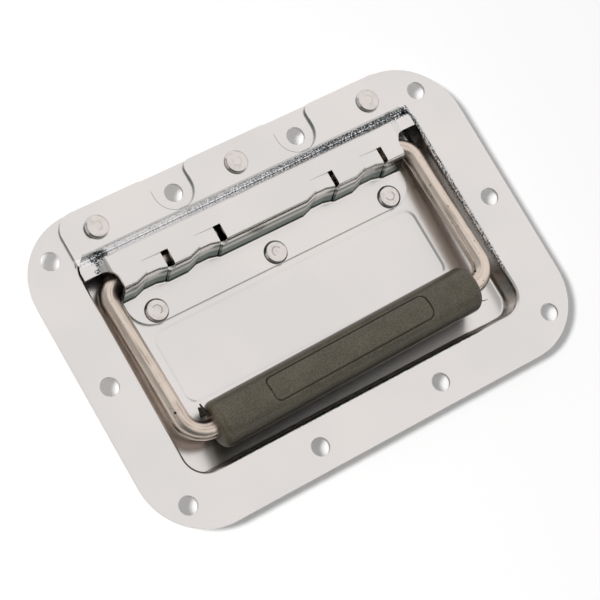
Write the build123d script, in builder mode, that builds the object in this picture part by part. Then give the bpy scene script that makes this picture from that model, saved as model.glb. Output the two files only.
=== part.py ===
from build123d import *
import math
import os

# Recessed handle of a flight case: a pressed steel dish, a folded hinge plate riveted
# over one long side, and a bent bar with a moulded grip that swings up out of the dish.
# Millimetres. X runs along the long side, +Y towards the hinge, +Z out of the case.
# The origin is the centre of the fixing holes, on the mounting face of the flange.

# Dish
SHEET = 1.2
PLATE_LENGTH = 172.0
PLATE_WIDTH = 115.0
PLATE_CORNER = 24.0
FLANGE_SIDE = 18.4
FLANGE_FRONT = 17.9
FLANGE_REAR = 13.1
RECESS_CORNER = 8.0
RECESS_DEPTH = 9.5
RECESS_DRAFT = 5.0
RIM_RADIUS = 1.7
FLOOR_RADIUS = 1.4
FIELD_SIDE_GAP = 13.9
FIELD_FOOT_GAP = 1.8
FIELD_WIDTH = 27.8
FIELD_CORNER = 4.5
FIELD_DROP = 0.5
FIELD_SLOPE = 63.0
LAND_GAP = 0.7
LAND_LAP = 0.6

# Fixing holes, each set in from the edge of the flange
FIXING_HOLE = 6.5
CORNER_HOLE_INSET_X = 11.75
CORNER_HOLE_INSET_Y = 11.85
SIDE_HOLE_INSET = 8.4
EDGE_HOLE_INSET = 8.35
EDGE_HOLE_X = 24.8

# Hinge plate
HINGE_SHEET = 1.2
HINGE_END_GAP = 0.4
HINGE_CORNER = 6.5
NOTCH_WIDTH = 14.5
NOTCH_RISE = 1.0
NOTCH_FLARE = 3.0
GROOVE_OVERHANG = 1.8
GROOVE_FALL = 1.7
GROOVE_DEPTH = 0.9
GROOVE_RISE = 2.3
HOOD_FREE = 0.85
HOOD_END = 1.1
WALL_FREE = 0.27
WALL_LEAN = 2.1
FOOT_DEPTH = 11.2
FOOT_CORNER = 8.5
WING_DROP = 0.3
WING_RISE = 1.15
RAMP_LENGTH = 3.4
ARCH_RADIUS = 5.0
STOP_GAP = 0.4
TRIM_GAP = 0.25
LIP_REACH = 4.0

# Lances: strips of the hood sheared at one end and pressed in towards the bar
LANCE_END = 12.6
LANCE_PITCH = 20.7
LANCE_TIP = 4.3
LANCE_REACH = 12.3
LANCE_SLOPE = 4.0
LANCE_TAPER = 3.4
LANCE_LENGTH = 7.8
LANCE_REAR = 1.3
LANCE_BAR_GAP = 0.3
LANCE_END_PUSH = 0.5
LANCE_FIRST_DROP = 0.25
LANCE_DROP = 1.1
LANCE_RETURN = 0.9
WIDE_SLOT = 2.4
NARROW_SLOT = 1.3

# Bail
BAR = 6.6
HINGE_INSET = 13.2
GRIP_INSET = 13.5
LEG_GAP = 2.1
LEG_FREE = 2.1
LEG_DRAW = 0.4
GRIP_LIFT = 0.3
GRIP_SKEW = 1.2
HINGE_BEND = 6.0
GRIP_BEND = 8.0
BAR_END_PAST = 6.0
BAR_END_CHAMFER = 0.6

# Grip
GRIP_DIAMETER = 16.6
GRIP_FREE = 0.7
GRIP_EDGE = 2.6
GRIP_FIT = 0.05
PANEL_LENGTH = 65.2
PANEL_WIDTH = 9.1
PANEL_CORNER = 2.4
PANEL_TURN = 5.0
PANEL_LINE = 0.5
PANEL_LINE_DEPTH = 0.45

# Rivets
RIVET_HEAD = 8.4
RIVET_HEAD_HEIGHT = 1.3
RIVET_CROWN = 0.45
RIVET_EDGE = 0.6
RIVET_SHANK = 4.8
RIVET_FIT = 0.05
FLANGE_RIVET_END = 12.3
FLANGE_RIVET_INSET = 8.2
FLANGE_RIVET_SINK = 7.0
FLOOR_RIVET_END = 9.0
FLOOR_RIVET_INSET = 4.1
FLOOR_RIVET_TAIL = 7.2
FLOOR_RIVET_TAIL_HEIGHT = 0.5

# Springs
SPRING_WIRE = 1.0
SPRING_GAP = 0.25
SPRING_FLOOR_GAP = 0.35
SPRING_HALF_TURNS = 9
SPRING_PITCH = 1.1
SPRING_LEG = 9.0
SPRING_BEND = 1.0
SPRING_HOOK = 2.0
HOOK_FIT = 0.2

# Recess and fixing holes
FLANGE_TOP = SHEET
FLOOR_TOP = FLANGE_TOP - RECESS_DEPTH
FLOOR_BACK = FLOOR_TOP - SHEET
RECESS_LENGTH = PLATE_LENGTH - 2 * FLANGE_SIDE
RECESS_FRONT = PLATE_WIDTH / 2 - FLANGE_FRONT
RECESS_REAR = PLATE_WIDTH / 2 - FLANGE_REAR
RECESS_WIDTH = RECESS_FRONT + RECESS_REAR
RECESS_CENTRE_Y = (RECESS_REAR - RECESS_FRONT) / 2
WALL_WIDTH = SHEET / math.cos(math.radians(RECESS_DRAFT))
CORNER_HOLE_X = PLATE_LENGTH / 2 - CORNER_HOLE_INSET_X
CORNER_HOLE_Y = PLATE_WIDTH / 2 - CORNER_HOLE_INSET_Y
SIDE_HOLE_X = PLATE_LENGTH / 2 - SIDE_HOLE_INSET
EDGE_HOLE_Y = PLATE_WIDTH / 2 - EDGE_HOLE_INSET

# Bar, coils and grip: the coils lie just over the floor, the grip rests on it
BAR_RADIUS = BAR / 2
COIL_RADIUS = BAR_RADIUS + SPRING_GAP + SPRING_WIRE / 2
COIL_OUTSIDE = COIL_RADIUS + SPRING_WIRE / 2
COIL_LENGTH = SPRING_HALF_TURNS * SPRING_PITCH / 2
GRIP_RADIUS = GRIP_DIAMETER / 2
HINGE_Y = RECESS_REAR - HINGE_INSET
HINGE_Z = FLOOR_TOP + SPRING_FLOOR_GAP + COIL_OUTSIDE
GRIP_Y = GRIP_INSET - RECESS_FRONT
GRIP_Z = FLOOR_TOP + GRIP_LIFT + GRIP_RADIUS
LEG_HINGE_X = RECESS_LENGTH / 2 - LEG_GAP - BAR_RADIUS
LEG_GRIP_X = LEG_HINGE_X - LEG_DRAW
GRIP_LENGTH = 2 * (LEG_GRIP_X - GRIP_BEND - GRIP_FREE)

# Hinge plate, wrapped over the coils and cut round the legs
HINGE_LENGTH = RECESS_LENGTH - 2 * HINGE_END_GAP
HINGE_TOP = FLANGE_TOP + HINGE_SHEET
GROOVE_Y = RECESS_REAR - GROOVE_OVERHANG
GROOVE_TOP = FLANGE_TOP - GROOVE_DEPTH
HOOD_TOP = HINGE_Z + COIL_OUTSIDE + HOOD_FREE + HINGE_SHEET
WING_TOP = FLANGE_TOP - WING_DROP
FOOT_TOP = FLOOR_TOP + HINGE_SHEET
LEAN_RATIO = WALL_LEAN / (HOOD_TOP - FOOT_TOP)
LEAN_STRETCH = math.hypot(1, LEAN_RATIO)
WALL_INSIDE_Y = HINGE_Y - (COIL_OUTSIDE + WALL_FREE) * LEAN_STRETCH
WALL_TOP_Y = WALL_INSIDE_Y - HINGE_SHEET * LEAN_STRETCH + (HOOD_TOP - HINGE_Z) * LEAN_RATIO
FOOT_JOIN_Y = WALL_TOP_Y - WALL_LEAN - 2 * HINGE_SHEET
FOOT_FRONT_Y = WALL_TOP_Y - WALL_LEAN - FOOT_DEPTH
ARCH_EDGE_Y = HINGE_Y + BAR_RADIUS + STOP_GAP
ARCH_END_X = LEG_HINGE_X - BAR_RADIUS - LEG_FREE
HOOD_LENGTH = 2 * (ARCH_END_X + HOOD_END)

# Lances, bar ends, rivets and the field in front of the foot
LANCE_OUTER_X = ARCH_END_X - LANCE_END
LANCE_INNER_X = LANCE_OUTER_X - LANCE_PITCH
LANCE_REAR_Y = HINGE_Y + LANCE_REAR
LANCE_PUSH = (COIL_OUTSIDE + WALL_FREE - BAR_RADIUS - LANCE_BAR_GAP) * LEAN_STRETCH
BAR_END_X = LANCE_INNER_X - BAR_END_PAST
FLANGE_RIVET_X = HINGE_LENGTH / 2 - FLANGE_RIVET_END
FLANGE_RIVET_Y = PLATE_WIDTH / 2 - FLANGE_RIVET_INSET
FLOOR_RIVET_X = ARCH_END_X - FLOOR_RIVET_END
FLOOR_RIVET_Y = FOOT_FRONT_Y + FLOOR_RIVET_INSET
FIELD_LENGTH = RECESS_LENGTH - 2 * FIELD_SIDE_GAP
FIELD_CENTRE_Y = FOOT_FRONT_Y - FIELD_FOOT_GAP - FIELD_WIDTH / 2

# Bend radii of the hinge plate's visible side
FLANGE_BEND = 1.4
GROOVE_BEND = 0.5
HOOD_REAR_BEND = 1.6
HOOD_FRONT_BEND = 2.4
FOOT_BEND = 0.9
LANCE_BEND = 1.4


def sheet_section(x, corners, radii):
    """Closed strip of the hinge plate's sheet, its visible side along the corners."""
    with BuildSketch(Plane.YZ.offset(x), mode=Mode.PRIVATE) as section:
        with BuildLine():
            FilletPolyline(*corners, radius=radii)
            offset(amount=HINGE_SHEET, side=Side.LEFT)
        make_face()
    return section.sketch


def hood_section(x):
    """Whole section of the plate over the bar, from the flange's edge to the foot."""
    corners = [
        (PLATE_WIDTH / 2, HINGE_TOP),
        (GROOVE_Y, HINGE_TOP),
        (GROOVE_Y - GROOVE_FALL, GROOVE_TOP),
        (GROOVE_Y - GROOVE_FALL - GROOVE_RISE, HOOD_TOP),
        (WALL_TOP_Y, HOOD_TOP),
        (WALL_TOP_Y - WALL_LEAN, FOOT_TOP),
        (FOOT_FRONT_Y, FOOT_TOP),
    ]
    radii = [FLANGE_BEND, GROOVE_BEND, HOOD_REAR_BEND, HOOD_FRONT_BEND, FOOT_BEND]
    return sheet_section(x, corners, radii)


def end_section(x, rise, level):
    """Section past the hood's ends, which stops under the arch cut for the bar's leg."""
    corners = [
        (PLATE_WIDTH / 2, HINGE_TOP),
        (GROOVE_Y, HINGE_TOP),
        (GROOVE_Y - GROOVE_FALL, GROOVE_TOP),
        (GROOVE_Y - GROOVE_FALL - rise, level),
        (HINGE_Y - BAR_RADIUS, level),
    ]
    return sheet_section(x, corners, [FLANGE_BEND, GROOVE_BEND, HOOD_REAR_BEND])


def wall_section(x, push):
    """Hood top and front wall at a lance, the wall pushed in towards the bar."""
    corners = [
        (LANCE_REAR_Y, HOOD_TOP),
        (WALL_TOP_Y + push, HOOD_TOP),
        (WALL_TOP_Y - WALL_LEAN + push, FOOT_TOP),
        (FOOT_JOIN_Y, FOOT_TOP),
    ]
    return sheet_section(x, corners, [HOOD_FRONT_BEND, FOOT_BEND])


def lug_section(x, push, drop):
    """The same with the top pressed down along a line behind it."""
    corners = [
        (LANCE_REAR_Y, HOOD_TOP - drop),
        (WALL_TOP_Y + push, HOOD_TOP - drop),
        (WALL_TOP_Y - WALL_LEAN + push, FOOT_TOP),
        (FOOT_JOIN_Y, FOOT_TOP),
    ]
    return sheet_section(x, corners, [LANCE_BEND, FOOT_BEND])


def slot_section(x, push):
    """Front wall alone, below the sheared slot."""
    corners = [
        (WALL_TOP_Y - HOOD_FRONT_BEND * LEAN_RATIO + push, HOOD_TOP - HOOD_FRONT_BEND),
        (WALL_TOP_Y - WALL_LEAN + push, FOOT_TOP),
        (FOOT_JOIN_Y, FOOT_TOP),
    ]
    return sheet_section(x, corners, [FOOT_BEND])


def rivet(x, y, seat, grip_length, tail_diameter, tail_height, flush):
    """Domed rivet with its head on the seat; its tail is either sunk flush or set proud."""
    head = RIVET_HEAD / 2
    shank = RIVET_SHANK / 2
    tail = tail_diameter / 2
    back = -grip_length
    if flush:
        tail_points = [(0, back), (tail, back), (shank, back + tail_height)]
    else:
        tail_points = [(0, back - tail_height), (tail, back - tail_height), (tail, back), (shank, back)]
    side = RIVET_HEAD_HEIGHT - RIVET_CROWN
    with BuildPart() as body:
        with BuildSketch(Plane(origin=(x, y, seat), x_dir=(1, 0, 0), z_dir=(0, -1, 0))):
            with BuildLine():
                Polyline(*tail_points, (shank, 0), (head, 0), (head, side - RIVET_EDGE))
                RadiusArc((head, side - RIVET_EDGE), (head - RIVET_EDGE, side), -RIVET_EDGE)
                TangentArc((0, RIVET_HEAD_HEIGHT), (head - RIVET_EDGE, side), tangent=(1, 0))
                Line((0, RIVET_HEAD_HEIGHT), tail_points[0])
            make_face()
        revolve(axis=Axis((x, y, 0), (0, 0, 1)))
    return body.part


def torsion_spring(start):
    """Wire hooked into the bar, coiled round it in half turns and led out along the recess floor."""
    half_pitch = SPRING_PITCH / 2
    with BuildPart() as spring:
        with BuildLine() as wire:
            for half_turn in range(SPRING_HALF_TURNS):
                x = start + half_turn * half_pitch
                side = 1 - 2 * (half_turn % 2)
                turn = ThreePointArc(
                    (x, HINGE_Y, HINGE_Z + side * COIL_RADIUS),
                    (x + half_pitch / 2, HINGE_Y - side * math.hypot(COIL_RADIUS, half_pitch / 2), HINGE_Z),
                    (x + half_pitch, HINGE_Y, HINGE_Z - side * COIL_RADIUS),
                )
            Line(turn @ 1, turn @ 1 + (turn % 1) * SPRING_LEG)
            hook_y = HINGE_Y + SPRING_BEND
            coil_top = HINGE_Z + COIL_RADIUS
            hook = Line(
                (start, hook_y, HINGE_Z + BAR_RADIUS - SPRING_HOOK),
                (start, hook_y, coil_top - SPRING_BEND),
            )
            TangentArc(hook @ 1, (start, HINGE_Y, coil_top), tangent=hook % 1)
        with BuildSketch(Plane(origin=hook @ 0, z_dir=hook % 0)):
            Circle(SPRING_WIRE / 2)
        sweep(path=wire.wires()[0])
    return spring.part


# The dish: flange, tapered recess with rolled rim, and a shallow field sunk in its floor
with BuildPart() as dish:
    with BuildSketch():
        RectangleRounded(PLATE_LENGTH, PLATE_WIDTH, PLATE_CORNER)
    extrude(amount=SHEET)
    with BuildSketch(Plane.XY.offset(FLANGE_TOP)):
        with Locations((0, RECESS_CENTRE_Y)):
            RectangleRounded(
                RECESS_LENGTH + 2 * WALL_WIDTH, RECESS_WIDTH + 2 * WALL_WIDTH, RECESS_CORNER + WALL_WIDTH
            )
    extrude(amount=FLOOR_BACK - FLANGE_TOP, taper=RECESS_DRAFT)
    with BuildSketch(Plane.XY.offset(FLANGE_TOP)):
        with Locations((0, RECESS_CENTRE_Y)):
            RectangleRounded(RECESS_LENGTH, RECESS_WIDTH, RECESS_CORNER)
    extrude(amount=-RECESS_DEPTH, taper=RECESS_DRAFT, mode=Mode.SUBTRACT)

    floor_back, floor_top, _, flange_top = dish.faces().filter_by(Plane.XY).sort_by(Axis.Z)
    fillet(floor_top.edges(), FLOOR_RADIUS)
    fillet(dish.faces().filter_by(Plane.XY).sort_by(Axis.Z)[0].edges(), FLOOR_RADIUS + SHEET)
    fillet(dish.faces().filter_by(Plane.XY).sort_by(Axis.Z)[-1].inner_wires()[0].edges(), RIM_RADIUS)
    fillet(dish.faces().filter_by(Plane.XY).sort_by(Axis.Z)[-2].inner_wires()[0].edges(), RIM_RADIUS - SHEET)

    bend_shift = SHEET * math.tan(math.radians(FIELD_SLOPE / 2))
    with BuildSketch(Plane.XY.offset(FLOOR_BACK)):
        with Locations((0, FIELD_CENTRE_Y)):
            RectangleRounded(
                FIELD_LENGTH + 2 * bend_shift, FIELD_WIDTH + 2 * bend_shift, FIELD_CORNER + bend_shift
            )
    extrude(amount=-FIELD_DROP, taper=FIELD_SLOPE)
    with BuildSketch(Plane.XY.offset(FLOOR_TOP)):
        with Locations((0, FIELD_CENTRE_Y)):
            RectangleRounded(FIELD_LENGTH, FIELD_WIDTH, FIELD_CORNER)
    extrude(amount=-FIELD_DROP, taper=FIELD_SLOPE, mode=Mode.SUBTRACT)

    # Flange left flat over the rolled rim, so that it shows under the whole of each notch
    with BuildSketch():
        with GridLocations(2 * EDGE_HOLE_X, 1, 2, 1):
            with Locations((0, EDGE_HOLE_Y + NOTCH_RISE)):
                Circle(NOTCH_WIDTH / 2 + LAND_LAP)
        with Locations((0, GROOVE_Y + LAND_GAP)):
            Rectangle(PLATE_LENGTH, EDGE_HOLE_Y - GROOVE_Y, align=(Align.CENTER, Align.MIN), mode=Mode.INTERSECT)
    extrude(amount=SHEET)

    with Locations((0, 0, FLANGE_TOP)):
        with GridLocations(2 * CORNER_HOLE_X, 2 * CORNER_HOLE_Y, 2, 2):
            Hole(FIXING_HOLE / 2, depth=SHEET)
        with GridLocations(2 * SIDE_HOLE_X, 1, 2, 1):
            Hole(FIXING_HOLE / 2, depth=SHEET)
        with GridLocations(2 * EDGE_HOLE_X, 2 * EDGE_HOLE_Y, 2, 2):
            Hole(FIXING_HOLE / 2, depth=SHEET)
    with Locations(Plane(origin=(0, FLANGE_RIVET_Y, 0), z_dir=(0, 0, -1))):
        with GridLocations(FLANGE_RIVET_X, 1, 3, 1):
            CounterSinkHole(RIVET_SHANK / 2 + RIVET_FIT, FLANGE_RIVET_SINK / 2 + RIVET_FIT, depth=SHEET)
    with Locations((0, FLOOR_RIVET_Y, FLOOR_TOP)):
        with GridLocations(FLOOR_RIVET_X, 1, 3, 1):
            Hole(RIVET_SHANK / 2 + RIVET_FIT, depth=SHEET)

# Plan outline that the folded sheet keeps inside the recess
with BuildSketch() as recess_outline:
    with Locations((0, RECESS_CENTRE_Y)):
        RectangleRounded(
            RECESS_LENGTH - 2 * TRIM_GAP, RECESS_WIDTH - 2 * TRIM_GAP, RECESS_CORNER - TRIM_GAP
        )

# Sheared ends of the lances from left to right, each with the width of its slot
lances = [
    (-LANCE_OUTER_X + LANCE_TIP, WIDE_SLOT),
    (-LANCE_INNER_X + LANCE_TIP, WIDE_SLOT),
    (LANCE_INNER_X + LANCE_TIP, NARROW_SLOT),
    (LANCE_OUTER_X + LANCE_TIP, NARROW_SLOT),
]

# The hinge plate, folded from one sheet: hood with lances, ramps and wings at its ends
half_hood = HOOD_LENGTH / 2
half_plate = HINGE_LENGTH / 2
with BuildPart() as hinge_plate:
    extrude(hood_section(-half_hood), amount=HOOD_LENGTH)
    for side in (-1, 1):
        hood_end = end_section(side * half_hood, GROOVE_RISE, HOOD_TOP)
        wing_start = end_section(side * (half_hood + RAMP_LENGTH), WING_RISE, WING_TOP)
        wing_end = end_section(side * half_plate, WING_RISE, WING_TOP)
        loft([hood_end, wing_start], ruled=True)
        loft([wing_start, wing_end], ruled=True)

    # What lies inside the recess keeps clear of its wall and round corners
    with BuildSketch(Plane.XY.offset(FLOOR_BACK)):
        with Locations((0, GROOVE_Y + FLANGE_BEND)):
            Rectangle(PLATE_LENGTH, RECESS_WIDTH, align=(Align.CENTER, Align.MAX))
        add(recess_outline.sketch, mode=Mode.SUBTRACT)
    extrude(amount=HOOD_TOP - FLOOR_BACK, mode=Mode.SUBTRACT)

    # Lip at each end on the flange, along the recess's round corner
    with BuildSketch(Plane.XY.offset(FLANGE_TOP)):
        with Locations((0, GROOVE_Y + FLANGE_BEND)):
            Rectangle(HINGE_LENGTH, LIP_REACH, align=(Align.CENTER, Align.MAX))
        add(recess_outline.sketch, mode=Mode.SUBTRACT)
    extrude(amount=HINGE_SHEET)

    # Arch cut at each end of the hood, where the bar's leg comes out and swings up
    with BuildSketch(Plane.XY.offset(FLOOR_TOP)):
        for side in (-1, 1):
            with BuildLine():
                arch = FilletPolyline(
                    (side * ARCH_END_X, FOOT_FRONT_Y),
                    (side * ARCH_END_X, ARCH_EDGE_Y),
                    (side * PLATE_LENGTH / 2, ARCH_EDGE_Y),
                    radius=ARCH_RADIUS,
                )
                Polyline(arch @ 1, (side * PLATE_LENGTH / 2, FOOT_FRONT_Y), arch @ 0)
            make_face()
    extrude(amount=HOOD_TOP - FLOOR_TOP, mode=Mode.SUBTRACT)

    # Lances, each a window in the hood filled by the pressed sheet up to its open slot
    for tip, slot in lances:
        start = tip - LANCE_REACH
        full = start + LANCE_SLOPE
        lug = tip - LANCE_LENGTH
        taper = tip - LANCE_TAPER
        wall = tip + LANCE_RETURN
        end = tip + slot
        with BuildSketch(Plane.XY.offset(HOOD_TOP)):
            with Locations((start, LANCE_REAR_Y)):
                Rectangle(end - start, LANCE_REAR_Y - FOOT_JOIN_Y, align=(Align.MIN, Align.MAX))
        extrude(amount=FLOOR_TOP - HOOD_TOP, mode=Mode.SUBTRACT)
        loft([wall_section(start, 0), wall_section(full, LANCE_PUSH)], ruled=True)
        extrude(wall_section(full, LANCE_PUSH), amount=lug - full)
        lug_start = lug_section(lug, LANCE_PUSH, LANCE_FIRST_DROP)
        lug_middle = lug_section(taper, LANCE_PUSH, (LANCE_FIRST_DROP + LANCE_DROP) / 2)
        lug_end = lug_section(tip, LANCE_END_PUSH, LANCE_DROP)
        loft([lug_start, lug_middle], ruled=True)
        loft([lug_middle, lug_end], ruled=True)
        loft([slot_section(tip, LANCE_END_PUSH), slot_section(wall, 0)], ruled=True)
        extrude(slot_section(wall, 0), amount=end - wall)

    # Round notches for the fixing holes on the hinge side
    with BuildSketch(Plane.XY.offset(HINGE_TOP)):
        for side in (-1, 1):
            with Locations((side * EDGE_HOLE_X, EDGE_HOLE_Y + NOTCH_RISE)):
                Circle(NOTCH_WIDTH / 2)
                Rectangle(NOTCH_WIDTH, PLATE_WIDTH / 2, align=(Align.CENTER, Align.MIN))
    extrude(amount=-HINGE_SHEET, mode=Mode.SUBTRACT)
    rear_edges = hinge_plate.edges().filter_by(Axis.Z).group_by(Axis.Y)[-1].sort_by(Axis.X)
    fillet(rear_edges[1:-1], NOTCH_FLARE)
    upright = hinge_plate.edges().filter_by(Axis.Z).group_by(Axis.X)
    fillet([upright[0].sort_by(Axis.Y)[-1], upright[-1].sort_by(Axis.Y)[-1]], HINGE_CORNER)
    fillet(hinge_plate.edges().filter_by(Axis.Z).group_by(Axis.Y)[0], FOOT_CORNER)

    with Locations((0, FLANGE_RIVET_Y, HINGE_TOP)):
        with GridLocations(FLANGE_RIVET_X, 1, 3, 1):
            Hole(RIVET_SHANK / 2 + RIVET_FIT, depth=HINGE_SHEET)
    with Locations((0, FLOOR_RIVET_Y, FOOT_TOP)):
        with GridLocations(FLOOR_RIVET_X, 1, 3, 1):
            Hole(RIVET_SHANK / 2 + RIVET_FIT, depth=HINGE_SHEET)

# Hooked ends of the two springs, which fill the spaces between the lances
left_middle = (-LANCE_OUTER_X - LANCE_INNER_X + WIDE_SLOT - LANCE_REACH) / 2 + LANCE_TIP
right_middle = (LANCE_OUTER_X + LANCE_INNER_X + NARROW_SLOT - LANCE_REACH) / 2 + LANCE_TIP
left_hook = -left_middle - COIL_LENGTH / 2
right_hook = right_middle - COIL_LENGTH / 2

# The bail: one bar bent four times, its ends turned in under the hood
bail_corners = [
    (-BAR_END_X, HINGE_Y, HINGE_Z),
    (-LEG_HINGE_X, HINGE_Y, HINGE_Z),
    (-LEG_GRIP_X, GRIP_Y - GRIP_SKEW, GRIP_Z),
    (LEG_GRIP_X, GRIP_Y + GRIP_SKEW, GRIP_Z),
    (LEG_HINGE_X, HINGE_Y, HINGE_Z),
    (BAR_END_X, HINGE_Y, HINGE_Z),
]
with BuildPart() as bail:
    with BuildLine() as bail_path:
        FilletPolyline(*bail_corners, radius=[HINGE_BEND, GRIP_BEND, GRIP_BEND, HINGE_BEND])
    with BuildSketch(Plane(origin=bail_path.line @ 0, z_dir=bail_path.line % 0)):
        Circle(BAR_RADIUS)
    sweep(path=bail_path.line)
    chamfer(bail.faces().filter_by(Plane.YZ).edges(), BAR_END_CHAMFER)
    for hook_x in (-left_hook, right_hook):
        with Locations((hook_x, HINGE_Y + SPRING_BEND, HINGE_Z + BAR_RADIUS)):
            Hole(SPRING_WIRE / 2 + HOOK_FIT, depth=SPRING_HOOK + HOOK_FIT)

# The grip, square to the bar's cross member, with the line of an inset panel on top
grip_axis = Vector(LEG_GRIP_X, GRIP_SKEW, 0)
grip_top = Vector(0, 0, 1).rotate(Axis((0, 0, 0), grip_axis), -PANEL_TURN)
grip_plane = Plane(origin=(0, GRIP_Y, GRIP_Z), x_dir=(0, 0, 1), z_dir=grip_axis)
with BuildPart() as panel_line:
    with BuildSketch(Plane(origin=(0, GRIP_Y, GRIP_Z), x_dir=grip_axis, z_dir=grip_top)):
        RectangleRounded(PANEL_LENGTH, PANEL_WIDTH, PANEL_CORNER)
        offset(amount=PANEL_LINE / 2)
        offset(amount=-PANEL_LINE, mode=Mode.SUBTRACT)
    extrude(amount=GRIP_RADIUS)
    with BuildSketch(grip_plane):
        Circle(GRIP_RADIUS - PANEL_LINE_DEPTH)
    extrude(amount=GRIP_LENGTH / 2, both=True, mode=Mode.SUBTRACT)
with BuildPart() as grip:
    with BuildSketch(grip_plane):
        Circle(GRIP_RADIUS)
        Circle(BAR_RADIUS + GRIP_FIT, mode=Mode.SUBTRACT)
    extrude(amount=GRIP_LENGTH / 2, both=True)
    fillet(grip.edges().filter_by(GeomType.CIRCLE).sort_by(SortBy.RADIUS)[-2:], GRIP_EDGE)
    add(panel_line.part, mode=Mode.SUBTRACT)

pieces = {"dish": dish.part, "hinge_plate": hinge_plate.part, "bail": bail.part, "grip": grip.part}
for index, place in enumerate(("left", "middle", "right")):
    pieces[f"flange_rivet_{place}"] = rivet(
        (index - 1) * FLANGE_RIVET_X,
        FLANGE_RIVET_Y,
        HINGE_TOP,
        SHEET + HINGE_SHEET,
        FLANGE_RIVET_SINK,
        (FLANGE_RIVET_SINK - RIVET_SHANK) / 2,
        True,
    )
    pieces[f"floor_rivet_{place}"] = rivet(
        (index - 1) * FLOOR_RIVET_X,
        FLOOR_RIVET_Y,
        FOOT_TOP,
        SHEET + HINGE_SHEET,
        FLOOR_RIVET_TAIL,
        FLOOR_RIVET_TAIL_HEIGHT,
        False,
    )
pieces["spring_left"] = mirror(torsion_spring(left_hook), about=Plane.YZ)
pieces["spring_right"] = torsion_spring(right_hook)

os.makedirs("parts", exist_ok=True)
for name, piece in pieces.items():
    piece.label = name
    export_step(piece, f"parts/{name}.step")
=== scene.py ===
"""Recessed flight case handle: surfaces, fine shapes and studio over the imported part."""

import logging
import math
from collections.abc import Callable, Sequence
from dataclasses import dataclass, field
from enum import Enum

import bmesh
import bpy
import numpy as np
from bpy.types import ID, Material, Mesh, Node, NodeSocket, NodeTree, Object
from mathutils import Matrix, Vector


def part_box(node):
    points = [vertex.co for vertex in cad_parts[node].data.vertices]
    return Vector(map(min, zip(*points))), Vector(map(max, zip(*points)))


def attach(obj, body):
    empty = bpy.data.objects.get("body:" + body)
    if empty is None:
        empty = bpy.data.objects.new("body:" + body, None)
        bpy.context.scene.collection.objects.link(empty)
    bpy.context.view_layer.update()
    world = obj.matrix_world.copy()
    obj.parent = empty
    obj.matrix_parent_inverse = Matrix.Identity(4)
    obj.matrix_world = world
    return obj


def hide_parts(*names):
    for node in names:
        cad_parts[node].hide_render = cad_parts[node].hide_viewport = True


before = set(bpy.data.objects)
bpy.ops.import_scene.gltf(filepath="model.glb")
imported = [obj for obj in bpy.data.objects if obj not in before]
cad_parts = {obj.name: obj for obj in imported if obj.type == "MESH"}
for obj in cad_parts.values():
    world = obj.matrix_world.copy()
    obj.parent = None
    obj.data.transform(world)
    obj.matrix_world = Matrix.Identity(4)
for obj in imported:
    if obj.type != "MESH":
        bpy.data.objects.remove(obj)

MM = 0.001
WHITE = (1.0, 1.0, 1.0)
LOG = logging.getLogger("handle")

Span = tuple[float, float]
Triple = tuple[float, float, float]
Spot = tuple[float, float, float, float]
Face = tuple[int, ...]
Sockets = dict[int | str, object]
Term = "Value | float"


class Body(Enum):
    """The two bodies of the handle that move against each other."""

    DISH = "dish"
    BAIL = "bail"


class Slot(Enum):
    """Material slots."""

    DISH = "dish_zinc"
    PLATE = "plate_zinc"
    BAR = "bar_zinc"
    GRIP = "grip_black"
    RIVET = "rivet_zinc"
    SPRING = "spring_steel"


def operator(operation: str, mirrored: bool = False) -> Callable[["Value", Term], "Value"]:
    """Method of Value that adds a Math node with two operands.

    Args:
        operation: The node's operation.
        mirrored: Whether the value is the second operand.

    Returns:
        The method.
    """
    def method(value: "Value", other: Term) -> "Value":
        """Math node of the value and the other operand."""
        return value.math(operation, *((other, value) if mirrored else (value, other)))
    return method


class Value:
    """A node socket that Python operators turn into Math nodes."""

    __add__, __radd__ = operator("ADD"), operator("ADD", True)
    __sub__, __rsub__ = operator("SUBTRACT"), operator("SUBTRACT", True)
    __mul__, __rmul__ = operator("MULTIPLY"), operator("MULTIPLY", True)
    __truediv__, __rtruediv__ = operator("DIVIDE"), operator("DIVIDE", True)
    __pow__, __rpow__ = operator("POWER"), operator("POWER", True)
    least, most, under = operator("MINIMUM"), operator("MAXIMUM"), operator("LESS_THAN")

    def __init__(self, graph: "Graph", socket: NodeSocket) -> None:
        """Wraps one output socket of the graph."""
        self.graph = graph
        self.socket = socket

    def math(self, operation: str, *terms: Term) -> "Value":
        """Adds a Math node with the given operands."""
        return self.graph.out("ShaderNodeMath", {"operation": operation}, dict(enumerate(terms)))

    def __abs__(self) -> "Value":
        """Absolute value."""
        return self.math("ABSOLUTE", self)

    def sine(self) -> "Value":
        """Sine."""
        return self.math("SINE", self)

    def cosine(self) -> "Value":
        """Cosine."""
        return self.math("COSINE", self)


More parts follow.
